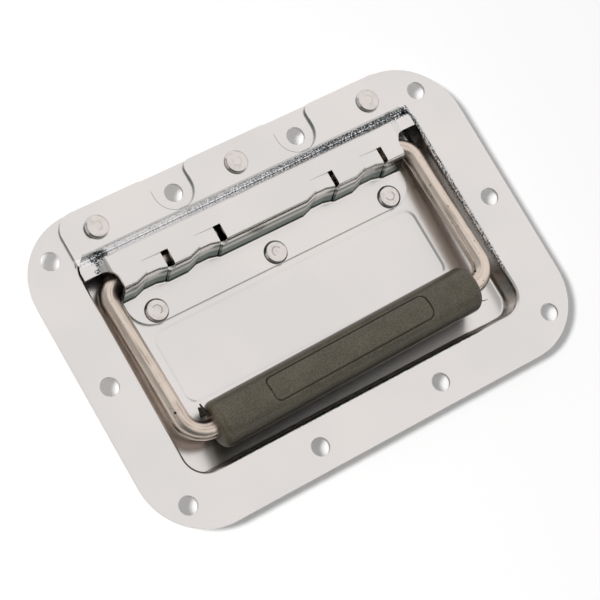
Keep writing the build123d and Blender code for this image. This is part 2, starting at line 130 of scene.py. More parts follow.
class Graph:
    """A node tree that is filled node by node."""

    def __init__(self, tree: NodeTree) -> None:
        """Takes over a tree and empties it."""
        self.tree = tree
        tree.nodes.clear()

    def node(self, kind: str, settings: dict[str, object] | None = None,
             values: Sockets | None = None) -> Node:
        """Adds a node.

        Args:
            kind: The node's type.
            settings: Its properties, set before the sockets.
            values: Numbers, colours or links of its input sockets.

        Returns:
            The new node.
        """
        made = self.tree.nodes.new(kind)
        for name, setting in (settings or {}).items():
            setattr(made, name, setting)
        for name, value in (values or {}).items():
            if isinstance(value, Value):
                self.tree.links.new(value.socket, made.inputs[name])
            else:
                made.inputs[name].default_value = value
        return made

    def out(self, kind: str, settings: dict[str, object] | None = None,
            values: Sockets | None = None, output: int | str = 0) -> Value:
        """Adds a node and returns one of its outputs.

        Args:
            kind: The node's type.
            settings: Its properties, set before the sockets.
            values: Numbers, colours or links of its input sockets.
            output: Which output is returned.

        Returns:
            The output as a value.
        """
        return Value(self, self.node(kind, settings, values).outputs[output])

    def place(self) -> Value:
        """Object coordinates, in metres in the frame of the part."""
        return self.out("ShaderNodeTexCoord", output="Object")

    def attribute(self, name: str, output: str = "Vector") -> Value:
        """Attribute that the mesh carries: a vector, or a number from the output Fac."""
        return self.out("ShaderNodeAttribute", {"attribute_name": name}, output=output)

    def axes(self, vector: Value) -> tuple[Value, Value, Value]:
        """The three numbers of a vector."""
        parts = self.node("ShaderNodeSeparateXYZ", values={0: vector})
        return tuple(Value(self, output) for output in parts.outputs)

    def vector(self, x: Term, y: Term, z: Term) -> Value:
        """Three numbers as one vector."""
        return self.out("ShaderNodeCombineXYZ", values={0: x, 1: y, 2: z})

    def measure(self, operation: str, vector: Value, other: Sequence[float]) -> Value:
        """Number that Vector Math makes of two vectors."""
        settings = {"operation": operation}
        return self.out("ShaderNodeVectorMath", settings, {0: vector, 1: tuple(other)}, "Value")

    def stretched(self, vector: Value, scale: Triple, turn: float = 0.0) -> Value:
        """Coordinates scaled, and turned about z, for a pattern with a direction."""
        values = {"Vector": vector, "Scale": scale, "Rotation": (0.0, 0.0, turn)}
        return self.out("ShaderNodeMapping", values=values)

    def noise(self, vector: Value, size: float, detail: float = 2.0, rough: float = 0.5) -> Value:
        """Noise from 0 to 1.

        Args:
            vector: Coordinates in metres.
            size: Width of one blotch in millimetres.
            detail: Octaves.
            rough: Weight of the finer octaves.

        Returns:
            The noise.
        """
        values = {"Vector": vector, "Scale": 1.0 / (size * MM), "Detail": detail, "Roughness": rough}
        return self.out("ShaderNodeTexNoise", values=values)

    def step(self, value: Value, low: float, high: float, start: float = 0.0, end: float = 1.0) -> Value:
        """Smooth step from start to end as the value goes from low to high."""
        return self.out("ShaderNodeMapRange", {"interpolation_type": "SMOOTHSTEP"},
                        {0: value, 1: low, 2: high, 3: start, 4: end})

    def rise(self, value: Value, low: float, high: float, start: float = 0.0, end: float = 1.0) -> Value:
        """Smooth step between two places that are given in millimetres."""
        return self.step(value, low * MM, high * MM, start, end)

    def fall(self, value: Value, low: float, high: float, start: float = 1.0) -> Value:
        """Smooth fall to 0 between two places that are given in millimetres."""
        return self.step(value, low * MM, high * MM, start, 0.0)

    def blend(self, mask: Term, first: Value | Triple, second: Value | Triple) -> Value:
        """Colour between two, by a mask.

        Args:
            mask: 0 for the first, 1 for the second.
            first: Colour or link.
            second: Colour or link.

        Returns:
            The mixed colour.
        """
        colours = [c if isinstance(c, Value) else (*c, 1.0) for c in (first, second)]
        return self.out("ShaderNodeMix", {"data_type": "RGBA"}, {0: mask, 6: colours[0], 7: colours[1]}, 2)

    def bump(self, height: Value, depth: float, under: Value | None = None) -> Value:
        """Normal tilted by a height map.

        Args:
            height: The map, from 0 to 1.
            depth: Millimetres that its whole range stands for.
            under: Normal that it is laid on, if not the mesh's own.

        Returns:
            The normal.
        """
        values = {"Height": height, "Distance": depth * MM, "Strength": 1.0}
        if under is not None:
            values["Normal"] = under
        return self.out("ShaderNodeBump", values=values)

    def rounded_box(self, x: Value, y: Value, half: Span, corner: float) -> Value:
        """Distance in metres from the outline of a rectangle with round corners, negative inside.

        Args:
            x: Coordinate from the rectangle's centre.
            y: Coordinate from the rectangle's centre.
            half: Half sizes in millimetres.
            corner: Corner radius in millimetres.

        Returns:
            The distance.
        """
        across = abs(x) - (half[0] - corner) * MM
        along = abs(y) - (half[1] - corner) * MM
        outside = (across.most(0.0) ** 2.0 + along.most(0.0) ** 2.0) ** 0.5
        return outside + across.most(along).least(0.0) - corner * MM

    def spot(self, vector: Value, spot: Spot, soft: float, reach: float = 1.0) -> Value:
        """Mask of a round spot.

        Args:
            vector: Coordinates in metres.
            spot: Centre and radius in millimetres.
            soft: Half width of the soft edge, as a share of the radius.
            reach: Where the mask is half way, as a share of the radius.

        Returns:
            1 inside the spot, 0 outside.
        """
        *centre, radius = spot
        far = self.measure("DISTANCE", vector, [c * MM for c in centre])
        return self.fall(far, radius * (reach - soft), radius * (reach + soft))

    def seen(self) -> Value:
        """Tells what is seen from light on the object.

        Returns:
            1 for what the camera, a reflection or glass shows, 0 for the rest.
        """
        rays = self.node("ShaderNodeLightPath").outputs
        camera, glossy, glass = (Value(self, rays[f"Is {kind} Ray"])
                                 for kind in ("Camera", "Glossy", "Transmission"))
        return camera.most(glossy).most(glass)

    def store(self, geometry: Value, name: str, value: Value, kind: str) -> Value:
        """Geometry whose points carry a named attribute of the given kind."""
        return self.out("GeometryNodeStoreNamedAttribute", {"data_type": kind, "domain": "POINT"},
                        {"Geometry": geometry, "Name": name, "Value": value})

    def tube(self, path: Value, sides: Value | int, radius: Value, mark: str = "") -> Value:
        """Round bar or wire along a curve.

        Args:
            path: The curve.
            sides: Points round the bar.
            radius: Radius in metres.
            mark: Name under which each point keeps its place round the bar, if any.

        Returns:
            The tube with closed ends.
        """
        ring = self.out("GeometryNodeCurvePrimitiveCircle", {"mode": "RADIUS"},
                        {"Resolution": sides, "Radius": radius})
        if mark:
            ring = self.store(ring, mark, self.out("GeometryNodeInputPosition"), "FLOAT_VECTOR")
        values = {"Curve": path, "Profile Curve": ring, "Fill Caps": True}
        return self.out("GeometryNodeCurveToMesh", values=values)


@dataclass(frozen=True)
class Place:
    """A shader's place on the part: its graph, the coordinates and their three numbers, in metres."""

    graph: Graph
    vector: Value
    x: Value
    y: Value
    z: Value


class Paint:
    """A material in the making."""

    def __init__(self, name: str) -> None:
        """Starts an empty material.

        Args:
            name: Name of the material.
        """
        self.material = bpy.data.materials.new(name)
        self.material.use_nodes = True
        self.graph = Graph(self.material.node_tree)

    def end(self, shader: Value) -> Material:
        """Adds the output and gives the finished material."""
        self.graph.node("ShaderNodeOutputMaterial", values={"Surface": shader})
        return self.material

    def finish(self, values: Sockets) -> Material:
        """Ends in a Principled shader with the given sockets."""
        return self.end(self.graph.out("ShaderNodeBsdfPrincipled", values=values))


@dataclass(frozen=True)
class ZincSheet:
    """Bright zinc plating on rolled steel sheet, brighter and speckled where the press stretched it."""

    name: str
    tone: Triple = (0.82, 0.785, 0.762)
    shade: Triple = (0.775, 0.75, 0.732)
    stretched_tone: Triple = (0.93, 0.93, 0.945)
    speck_tone: Triple = (0.08, 0.09, 0.095)
    # Painted shade colour for the hood's front wall, the sheared edges and the notch brinks.
    painted_shade_tone: Triple = (0.10, 0.135, 0.123)
    roughness: float = 0.24
    stretched_roughness: float = 0.15
    grain_depth: float = 0.00015
    speck: Span = (0.50, 0.55)
    speck_size: float = 0.5
    peel: float = 0.09
    peel_size: float = 0.75
    painted_shade_drift: float = 0.0
    dark_patches: tuple[Spot, ...] = ()
    patch_speckle: float = 0.14

    def stretch(self, at: Place) -> Value:
        """Where the sheet was stretched, as each finish says."""
        raise NotImplementedError

    def depth(self, at: Place) -> Term:
        """How dark the specks are."""
        return 0.9

    def painted_shade_mask(self, at: Place) -> Term:
        """Where shade is painted; nowhere unless a finish has some."""
        return 0.0

    def form(self, at: Place) -> Value | None:
        """Normal of a soft form of the sheet; none unless a finish has one."""
        return None

    def build(self) -> Material:
        """Builds the material.

        Returns:
            The material.
        """
        paint = Paint(self.name)
        graph = paint.graph
        place = graph.place()
        at = Place(graph, place, *graph.axes(place))
        stretch = self.stretch(at)
        cloud = graph.noise(place, 38.0, 2.0, 0.45)
        grain = graph.noise(graph.stretched(place, (0.25, 1.0, 1.0)), 0.42, 2.0, 0.6)
        # Painted shade: the specks grow denser towards the right; they also grow in the dark patches.
        darkening = at.x * self.painted_shade_drift
        for patch in self.dark_patches:
            darkening = darkening + self.patch_speckle * graph.spot(place, patch, 0.6)
        speck = graph.step(graph.noise(place, self.speck_size, 1.0) + darkening, *self.speck)
        rolled = graph.stretched(place, (0.03, 1.0, 0.4), 0.5)
        scratch = graph.step(graph.noise(rolled, 0.35, 1.0), 0.70, 0.76)
        tone = graph.blend(graph.step(cloud, 0.3, 0.7), self.tone, self.shade)
        tone = graph.blend(stretch * 0.7, tone, self.stretched_tone)
        clean = 0.985 - 0.03 * grain - self.depth(at) * speck * stretch
        tone = graph.blend(clean, self.speck_tone, tone)
        # Painted shade, where the finish has some.
        tone = graph.blend(self.painted_shade_mask(at), tone, self.painted_shade_tone)
        plain = self.roughness + 0.07 * (grain - 0.5) + 0.05 * (cloud - 0.5) + 0.02 * scratch
        roughness = plain * (1.0 - stretch) + stretch * (self.stretched_roughness + 0.1 * speck)
        peel = graph.noise(place, self.peel_size, 2.0, 0.55)
        normal = graph.bump(peel * stretch, self.peel, graph.bump(grain, self.grain_depth, self.form(at)))
        return paint.finish({"Base Color": tone, "Metallic": 1.0, "Roughness": roughness, "Normal": normal})


@dataclass(frozen=True)
class DishZinc(ZincSheet):
    """Zinc of the dish: stretched along the right and the front of the recess's rolled rim; there its dark
    specks also stand for painted shade of the rim's dark reflection.
    """

    half: Span = (67.6, 42.0)
    centre_y: float = 2.4
    corner: float = 8.0
    rim_inside: Span = (-0.7, -0.3)
    rim_outside: Span = (0.5, 1.3)
    rim_level: Span = (-2.0, -0.6)
    right_x: Span = (60.0, 64.0)
    right_y: Span = (-29.0, -24.0)
    front_y: Span = (-38.0, -35.0)
    front_left: Span = (-60.0, -50.0)
    front_right: Span = (42.0, 50.0)
    hidden: Span = (40.0, 41.0)
    root: Span = (-38.6, -31.6)
    root_rise: float = 0.75
    floor: Span = (-6.8, -6.6)

    def form(self, at: Place) -> Value:
        """Floor drawn up softly towards the front wall.

        Args:
            at: Place on the part.

        Returns:
            The normal.
        """
        low, high = self.root
        near = ((high * MM - at.y) / ((high - low) * MM)).most(0.0)
        return at.graph.bump(near * near * at.graph.fall(at.z, *self.floor), self.root_rise)

    def stretch(self, at: Place) -> Value:
        """Narrow band along the rim, at the right and in front, where the rim reflects dark.

        Args:
            at: Place on the part.

        Returns:
            Mask of the band.
        """
        graph = at.graph
        off = graph.rounded_box(at.x, at.y - self.centre_y * MM, self.half, self.corner)
        band = graph.fall(off, *self.rim_outside) * graph.rise(off, *self.rim_inside)
        right = graph.rise(at.x, *self.right_x) * graph.rise(at.y, *self.right_y)
        front = graph.fall(at.y, *self.front_y) * graph.fall(at.x, *self.front_right)
        front = front * graph.rise(at.x, *self.front_left)
        return band * right.most(front) * graph.fall(at.y, *self.hidden) * graph.rise(at.z, *self.rim_level)


@dataclass(frozen=True)
class PlateZinc(ZincSheet):
    """Zinc of the hinge plate: stretched along the groove, with dark speckled patches at its left end, its
    specks darkened towards the right as painted shade, and painted shade on the hood's front wall, the
    sheared edges and the notches' brink.
    """

    peel: float = 0.15
    painted_shade_drift: float = 1.2
    dark_patches: tuple[Spot, ...] = ((-59.7, 39.9, 0.6, 2.8), (-57.4, 39.5, 0.6, 2.2), (-61.8, 36.0, 0.9, 1.0))
    patch_depth: float = 0.95
    # Painted shade: how dark the specks get from left to right.
    speck_x: Span = (-45.0, 35.0)
    speck_depth: Span = (0.35, 0.92)
    groove: Span = (39.2, 42.2)
    groove_edge: float = 0.3
    wall_front: Span = (26.6, 27.2)
    wall_foot: Span = (-7.0, -6.7)
    wall_middle: Span = (-3.4, -2.4)
    wall_upper: Span = (-1.5, -0.9)
    wall_brink: Span = (0.2, 0.7)
    foot: float = -7.1
    flange: Span = (1.2, 2.4)
    shear: Span = (-0.16, -0.06)
    shear_shade: float = 0.75
    notch_x: float = 24.8
    notch_y: float = 50.15
    notch_line: float = 7.37
    line_edge: Span = (0.10, 0.26)
    line_shade: float = 0.5
    line_fade: Span = (1.5, 3.0)
    ramp: Span = (57.9, 61.3)
    ramp_rise: float = 0.6

    def form(self, at: Place) -> Value:
        """Softer fall of the ramps from the hood to the wings."""
        ramp = at.graph.rise(abs(at.x), *self.ramp) * at.graph.rise(at.z, 0.0, 0.4)
        return at.graph.bump(ramp, self.ramp_rise)

    def painted_shade_mask(self, at: Place) -> Value:
        """Painted shade on the hood's front wall and on the sheared edges of the foot and the flange, which
        are also darker in themselves, and along the brink of the notches.

        Args:
            at: Place on the part.

        Returns:
            Mask of the painted shade.
        """
        graph = at.graph
        lower = graph.rise(at.z, *self.wall_foot) * graph.rise(at.z, *self.wall_middle, 0.95, 0.5)
        wall = lower.most(graph.rise(at.z, *self.wall_upper, 0.0, 0.9)) * graph.fall(at.z, *self.wall_brink)
        wall = wall * graph.fall(at.y, *self.wall_front)
        foot, flange = (graph.fall(at.z, *(level + edge for edge in self.shear), self.shear_shade)
                        for level in (self.foot, self.flange[1]))
        behind = self.groove[1]
        flange = flange * graph.rise(at.z, self.flange[0], self.flange[0] + 0.1)
        flange = flange * graph.rise(at.y, behind + 0.2, behind + 0.6)
        return wall.most(foot).most(flange).most(self.outline(at))

    def outline(self, at: Place) -> Value:
        """Painted shade line along the rolled over brink of the two notches.

        Args:
            at: Place on the part.

        Returns:
            Mask of the line.
        """
        across = abs(at.x) - self.notch_x * MM
        down = (at.y - self.notch_y * MM).least(0.0)
        off = abs((across * across + down * down) ** 0.5 - self.notch_line * MM)
        fade = at.graph.fall(at.y, *(self.notch_y + part for part in self.line_fade))
        return at.graph.fall(off, *self.line_edge, self.line_shade) * fade

    def depth(self, at: Place) -> Value:
        """Specks darker towards the right, as painted shade, and in the dark patches.

        Args:
            at: Place on the part.

        Returns:
            How dark they are, from 0 to 1.
        """
        deep = at.graph.rise(at.x, *self.speck_x, *self.speck_depth)
        for patch in self.dark_patches:
            deep = deep.most(self.patch_depth * at.graph.spot(at.vector, patch, 0.4, 1.2))
        return deep

    def stretch(self, at: Place) -> Value:
        """Band between the two sides of the groove, and the dark patches.

        Args:
            at: Place on the part.

        Returns:
            Mask of the stretched metal.
        """
        low, high = self.groove
        soft = self.groove_edge
        band = at.graph.rise(at.y, low - soft, low + soft) * at.graph.fall(at.y, high - soft, high + soft)
        for patch in self.dark_patches:
            band = band.most(at.graph.spot(at.vector, patch, 0.3))
        return band


@dataclass(frozen=True)
class BarPlating:
    """Thin plating on drawn round bar: warm, streaked lengthwise, with a few pits."""

    name: str
    tone: Triple = (0.755, 0.645, 0.565)
    worn: Triple = (0.36, 0.285, 0.225)
    pitted: Triple = (0.05, 0.042, 0.036)
    roughness: float = 0.29
    relief: float = 0.006
    pits: tuple[Spot, ...] = ((-63.4, -17.4, 3.0, 0.6), (57.0, -21.05, 2.05, 0.6))

    def build(self) -> Material:
        """Builds the material.

        Returns:
            The material.
        """
        paint = Paint(self.name)
        graph = paint.graph
        place = graph.place()
        across, up, _ = graph.axes(graph.attribute("ring"))
        run = graph.attribute("run", "Fac")
        streak = graph.noise(graph.vector(across, up, run * 0.02), 0.5, 3.0, 0.6)
        fine = graph.noise(graph.vector(across, up, run * 0.05), 0.22, 2.0, 0.6)
        cloud = graph.noise(graph.vector(across, up, run * 0.4), 4.0)
        pit = graph.step(graph.noise(graph.stretched(place, (1.0, 0.4, 1.0)), 0.7, 2.0, 0.75), 0.66, 0.71)
        worn = graph.step(streak, 0.46, 0.64) * graph.step(cloud, 0.32, 0.6)
        marks = pit * 0.8
        for spot in self.pits:
            marks = marks.most(graph.spot(place, spot, 0.25))
        tone = graph.blend(marks, graph.blend(0.8 * worn, self.tone, self.worn), self.pitted)
        roughness = self.roughness + 0.12 * (fine - 0.5) + 0.1 * worn + 0.3 * marks
        normal = graph.bump(streak * 0.6 + fine * 0.4 - marks, self.relief)
        return paint.finish({"Base Color": tone, "Metallic": 1.0, "Roughness": roughness, "Normal": normal})


@dataclass(frozen=True)
class MouldedGrip:
    """Brown-black moulded plastic with a fine eroded grain, and near-black painted shade in the panel's line.
    """

    name: str
    tone: Triple = (0.030, 0.025, 0.013)
    dusty: Triple = (0.094, 0.082, 0.055)
    # Near-black painted shade, laid where the mesh marks it.
    line: Triple = (0.006, 0.006, 0.005)
    roughness: float = 0.46
    relief: float = 0.03
    coat: float = 0.28
    coat_roughness: float = 0.22

    def build(self) -> Material:
        """Builds the material.

        Returns:
            The material.
        """
        paint = Paint(self.name)
        graph = paint.graph
        place = graph.place()
        grain = graph.noise(place, 0.5, 3.0, 0.65)
        blotch = graph.noise(place, 7.0, 3.0, 0.55)
        dust = graph.step(graph.noise(place, 0.55, 2.0, 0.7), 0.64, 0.76)
        scuff = graph.step(graph.noise(graph.stretched(place, (0.12, 1.0, 1.0), 0.6), 0.5, 1.0), 0.72, 0.77)
        line = graph.attribute("line", "Fac")
        light = graph.step(blotch, 0.3, 0.75) * 0.3 + graph.step(grain, 0.4, 0.62) * 0.6
        tone = graph.blend(light + dust * 0.35 + scuff * 0.2, self.tone, self.dusty)
        return paint.finish({
            "Base Color": graph.blend(line, tone, self.line),
            "Roughness": self.roughness + 0.16 * (grain - 0.5) + 0.08 * (blotch - 0.5) + 0.3 * line,
            "Coat Weight": self.coat * (1.0 - line),
            "Coat Roughness": self.coat_roughness,
            "Normal": graph.bump(grain, self.relief),
        })


@dataclass(frozen=True)
class RivetZinc:
    """Zinc on the rivets, with the arc that the setting tool left on each head and painted shade at its foot.
    """

    name: str
    tone: Triple = (0.735, 0.69, 0.66)
    worn: Triple = (0.36, 0.34, 0.32)
    foot_shade_tone: Triple = (0.12, 0.12, 0.11)
    roughness: float = 0.15
    relief: float = 0.03
    mark_radius: float = 1.6
    mark_edge: Span = (0.14, 0.30)
    mark_open: Span = (-0.65, -0.3)
    mark_shade: float = 0.25
    mark_depth: float = 0.0

    def build(self) -> Material:
        """Builds the material.

        Returns:
            The material.
        """
        paint = Paint(self.name)
        graph = paint.graph
        place = graph.place()
        x, y, z = graph.axes(graph.attribute("head"))
        off = abs((x * x + y * y) ** 0.5 - self.mark_radius * MM)
        arc = graph.fall(off, *self.mark_edge) * graph.rise(x * 0.6 + y * 0.8, *self.mark_open)
        mark = arc * graph.rise(z, 0.0, 0.5)
        # Painted shade where the head meets the sheet.
        darkening = graph.fall(z, 0.3, 0.6, 0.75) * graph.rise(z, -0.3, -0.1)
        grain = graph.noise(place, 0.35, 2.0, 0.6)
        wear = graph.step(graph.noise(place, 2.2), 0.45, 0.7)
        tone = graph.blend(0.18 * wear + self.mark_shade * mark, self.tone, self.worn)
        tone = graph.blend(darkening, tone, self.foot_shade_tone)
        roughness = self.roughness + 0.1 * (grain - 0.5) + 0.08 * wear
        normal = graph.bump(grain * 0.02 - mark * self.mark_depth, self.relief)
        return paint.finish({"Base Color": tone, "Metallic": 1.0, "Roughness": roughness, "Normal": normal})


@dataclass(frozen=True)
class SpringSteel:
    """Oiled dark spring wire."""

    name: str
    tone: Triple = (0.16, 0.16, 0.17)
    dry: Triple = (0.28, 0.26, 0.24)
    relief: float = 0.004

    def build(self) -> Material:
        """Builds the material.

        Returns:
            The material.
        """
        paint = Paint(self.name)
        graph = paint.graph
        grain = graph.noise(graph.place(), 0.3, 2.0, 0.6)
        return paint.finish({
            "Base Color": graph.blend(graph.step(grain, 0.35, 0.7), self.tone, self.dry),
            "Metallic": 1.0,
            "Roughness": 0.3 + 0.2 * grain,
            "Normal": graph.bump(grain, self.relief),
        })


def placed(name: str, data: ID) -> Object:
    """Puts data in the scene, at the origin.

    Args:
        name: Name of the object.
        data: Its mesh, camera or light.

    Returns:
        The object.
    """
    made = bpy.data.objects.new(name, data)
    bpy.context.scene.collection.objects.link(made)
    return made


class Piece:
    """A finished mesh that rides on a body and stands for CAD nodes."""

    def __init__(self, name: str, mesh: Mesh, material: Material) -> None:
        """Puts the mesh in the scene.

        Args:
            name: Name of the object and the mesh.
            mesh: The mesh.
            material: Its only material.
        """
        mesh.name = name
        mesh.materials.clear()
        mesh.materials.append(material)
        self.object = placed(name, mesh)

    def join(self, body: Body, nodes: tuple[str, ...] = ()) -> Object:
        """Makes the piece part of the handle.

        Args:
            body: Body that it moves with.
            nodes: CAD nodes that it stands for.

        Returns:
            The object.
        """
        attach(self.object, body.value)
        if nodes:
            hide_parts(*nodes)
        LOG.info("piece %s: %d faces", self.object.name, len(self.object.data.polygons))
        return self.object


def plain_mesh(name: str, points: Sequence, edges: Sequence = (), faces: Sequence = ()) -> Mesh:
    """Mesh from points in metres.

    Args:
        name: Name of the mesh.
        points: The points.
        edges: Pairs of points.
        faces: Rounds of points.

    Returns:
        The mesh.
    """
    mesh = bpy.data.meshes.new(name)
    mesh.from_pydata([tuple(p) for p in points], list(edges), list(faces))
    mesh.update()
    return mesh


def chain(name: str, points: Sequence) -> Mesh:
    """Mesh of points in metres that edges join one after another."""
    return plain_mesh(name, points, edges=[(i, i + 1) for i in range(len(points) - 1)])


def ring_faces(rings: int, sides: int, first: int = 0) -> list[Face]:
    """Quads between closed rings of points that follow one another.

    Args:
        rings: Number of rings.
        sides: Points in each ring.
        first: Number of the first point.

    Returns:
        The faces.
    """
    faces = []
    for start in range(first, first + (rings - 1) * sides, sides):
        for side in range(sides):
            after = (side + 1) % sides
            faces.append((start + side, start + sides + side, start + sides + after, start + after))
    return faces


def caps(rings: int, sides: int, first: int = 0) -> list[Face]:
    """Faces that close the first and the last of the rings that ring_faces joins."""
    last = first + (rings - 1) * sides
    return [tuple(range(first, first + sides)), tuple(range(last, last + sides))[::-1]]


def outward(mesh: Mesh) -> None:
    """Turns the faces outwards.

    Args:
        mesh: Closed mesh.
    """
    shape = bmesh.new()
    shape.from_mesh(mesh)
    bmesh.ops.recalc_face_normals(shape, faces=shape.faces)
    shape.to_mesh(mesh)
    shape.free()


def mark_painted_shade(mesh: Mesh, values: Sequence[float]) -> None:
    """Stores at each point how strongly painted shade darkens the plastic there."""
    mesh.attributes.new("line", "FLOAT", "POINT").data.foreach_set("value", values)


def evaluated_mesh(source: Object) -> Mesh:
    """Plain mesh of an object with its modifiers.

    Args:
        source: The object, which is then removed with its modifiers.

    Returns:
        The mesh.
    """
    bpy.context.view_layer.update()
    depsgraph = bpy.context.evaluated_depsgraph_get()
    mesh = bpy.data.meshes.new_from_object(source.evaluated_get(depsgraph), depsgraph=depsgraph)
    bpy.data.objects.remove(source)
    return mesh


def softened(mesh: Mesh, width: float, limit: float) -> Mesh:
    """Rounds a mesh's sharp edges and evens out its shading.

    Args:
        mesh: Mesh to soften.
        width: Width of the rounding in millimetres.
        limit: Angle in degrees from which an edge is sharp.

    Returns:
        The softened mesh.
    """
    mesh.shade_smooth()
    carrier = placed("softened", mesh)
    bevel = carrier.modifiers.new("edges", "BEVEL")
    bevel.width = width * MM
    bevel.segments = 2
    bevel.limit_method = "ANGLE"
    bevel.angle_limit = math.radians(limit)
    bevel.use_clamp_overlap = False
    bevel.harden_normals = True
    even = carrier.modifiers.new("shading", "WEIGHTED_NORMAL")
    even.keep_sharp = True
    even.weight = 60
    return evaluated_mesh(carrier)


class Maker:
    """A Geometry Nodes tree with named inputs, which ends in Realize Instances and Set Material."""

    def __init__(self, name: str) -> None:
        """Starts a tree that takes and gives geometry.

        Args:
            name: Name of the tree.
        """
        self.group = bpy.data.node_groups.new(name, "GeometryNodeTree")
        self.graph = Graph(self.group)
        self.inputs: dict[str, object] = {}
        for way in ("INPUT", "OUTPUT"):
            self.group.interface.new_socket("Geometry", in_out=way, socket_type="NodeSocketGeometry")
        self.entry = self.graph.node("NodeGroupInput")

    def geometry(self) -> Value:
        """Geometry that comes in."""
        return Value(self.graph, self.entry.outputs["Geometry"])

    def size(self, name: str, value: object, kind: str = "Float") -> Value:
        """Adds a named input.

        Args:
            name: Name of the input.
            value: What it is set to on the modifier.
            kind: Kind of socket.

        Returns:
            The input as a value.
        """
        socket = self.group.interface.new_socket(name, in_out="INPUT", socket_type="NodeSocket" + kind)
        self.inputs[socket.identifier] = value
        return Value(self.graph, self.entry.outputs[name])

    def run(self, base: Mesh, result: Value, material: Material) -> Mesh:
        """Ends the tree, sets its inputs and makes the plain mesh.

        Args:
            base: Mesh that the tree starts from.
            result: Geometry that it makes.
            material: Finish of the result.

        Returns:
            The plain mesh.
        """
        smooth = self.graph.out("GeometryNodeSetShadeSmooth", values={"Geometry": result})
        real = self.graph.out("GeometryNodeRealizeInstances", values={"Geometry": smooth})
        dressed = self.graph.out("GeometryNodeSetMaterial", values={"Geometry": real, "Material": material})
        self.graph.node("NodeGroupOutput", values={"Geometry": dressed})
        carrier = placed(self.group.name, base)
        modifier = carrier.modifiers.new(self.group.name, "NODES")
        modifier.node_group = self.group
        for identifier, value in self.inputs.items():
            modifier[identifier] = value
        return evaluated_mesh(carrier)


@dataclass
class PressedSheet:
    """A pressed or bent sheet: the CAD shape, cleaned, with sheared edges slightly rounded."""

    node: str
    name: str
    slot: Slot
    finish: ZincSheet
    edge: float = 0.09
    crease: float = 25.0
    weld: float = 0.004
    flat: float = 0.6

    def cleaned(self) -> Mesh:
        """Copy of the node's mesh with its triangles joined into faces.

        Returns:
            The copy.
        """
        shape = bmesh.new()
        shape.from_mesh(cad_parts[self.node].data)
        bmesh.ops.remove_doubles(shape, verts=shape.verts, dist=self.weld * MM)
        bmesh.ops.dissolve_limit(shape, angle_limit=math.radians(self.flat), verts=shape.verts,
                                 edges=shape.edges)
        points = [v.co.copy() for v in shape.verts]
        faces = [[v.index for v in f.verts] for f in shape.faces]
        shape.free()
        return plain_mesh(self.name, points, faces=faces)

    def build(self) -> Object:
        """Builds the sheet and dresses it."""
        mesh = softened(self.cleaned(), self.edge, self.crease)
        return Piece(self.name, mesh, self.finish.build()).join(Body.DISH, (self.node,))


@dataclass
class Bail:
    """The bent bar: one path with two radii of bend, swept by a Geometry Nodes tree."""

    bar: float = 6.6
    hinge_x: float = 62.2
    hinge_y: float = 31.2
    hinge_z: float = -3.4
    grip_x: float = 61.8
    grip_y: float = -26.1
    grip_z: float = 0.3
    skew: float = 1.2
    end_x: float = 17.5
    hinge_bend: float = 6.0
    grip_bend: float = 8.0
    bend_steps: int = 24
    sides: int = 64
    chamfer: float = 0.6

    def path(self) -> Mesh:
        """Corners of the bar's centre line, from its left end to its right end.

        Returns:
            Points joined one after another.
        """
        points = []
        for side in (-1, 1):
            leg = [
                (side * self.end_x, self.hinge_y, self.hinge_z),
                (side * self.hinge_x, self.hinge_y, self.hinge_z),
                (side * self.grip_x, self.grip_y + side * self.skew, self.grip_z),
            ]
            points += leg[::-side]
        return chain("bail_path", [Vector(p) * MM for p in points])

    def build(self) -> Object:
        """Rounds the corners, sweeps the bar and dresses it.

        Returns:
            The object.
        """
        material = BarPlating("bar plating").build()
        maker = Maker("bail_bar")
        graph = maker.graph
        radius = maker.size("Bar radius", self.bar / 2 * MM)
        hinge = maker.size("Hinge bend", self.hinge_bend * MM)
        grip = maker.size("Grip bend", self.grip_bend * MM)
        steps = maker.size("Bend steps", self.bend_steps, "Int")
        sides = maker.size("Bar sides", self.sides, "Int")
        curve = graph.out("GeometryNodeMeshToCurve", values={"Mesh": maker.geometry()})
        by_grip = abs(graph.out("GeometryNodeInputIndex") - 2.5).under(1.0)
        bend = hinge + (grip - hinge) * by_grip
        bent = graph.out("GeometryNodeFilletCurve", {"mode": "POLY"},
                         {"Curve": curve, "Count": steps, "Radius": bend, "Limit Radius": False})
        length = graph.out("GeometryNodeSplineParameter", output="Length")
        bar = graph.tube(graph.store(bent, "run", length, "FLOAT"), sides, radius, "ring")
        mesh = softened(maker.run(self.path(), bar, material), self.chamfer, 60.0)
        return Piece("bail_bar", mesh, material).join(Body.BAIL, ("bail",))


